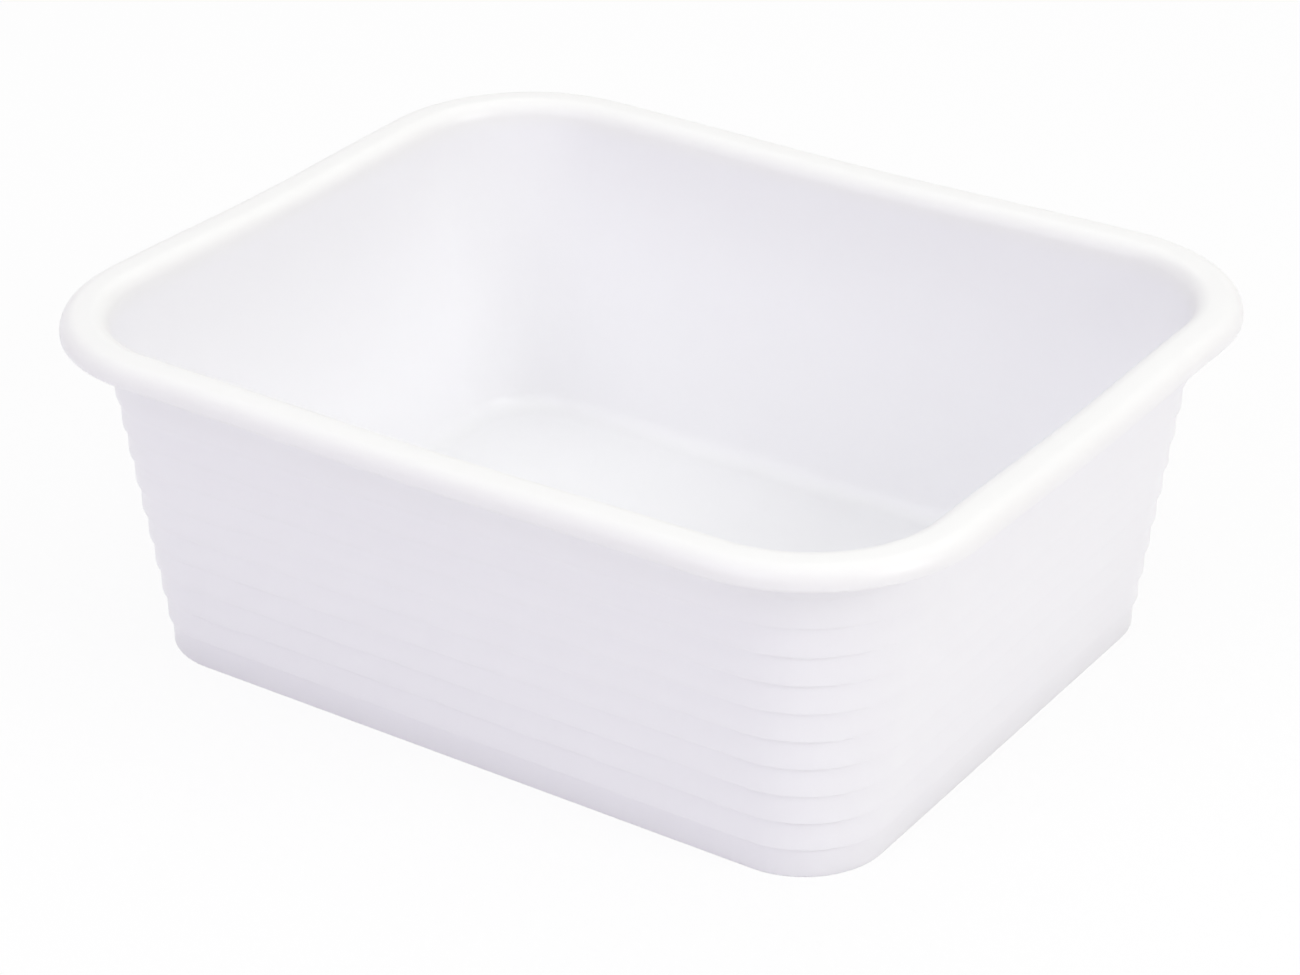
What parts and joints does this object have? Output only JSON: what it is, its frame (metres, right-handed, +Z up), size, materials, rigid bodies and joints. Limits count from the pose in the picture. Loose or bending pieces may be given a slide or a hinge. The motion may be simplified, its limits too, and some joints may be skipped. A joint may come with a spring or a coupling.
{
  "type": "washing up bowl",
  "caption": "Open rectangular washing up bowl in white plastic, with a stepped outside wall, a smooth inside, round corners and a wide rolled rim to lift it by.",
  "frame": {"origin": "centre of the base, on the surface that the bowl stands on", "axes": "+X along the long side of the rim, +Y along its short side, +Z up out of the bowl's mouth"},
  "size_m": [0.38, 0.313, 0.1395],
  "materials": {
    "plastic": "satin moulded polypropylene, white"
  },
  "bodies": {
    "root": {"bowl": "plastic"}
  },
  "joints": []
}
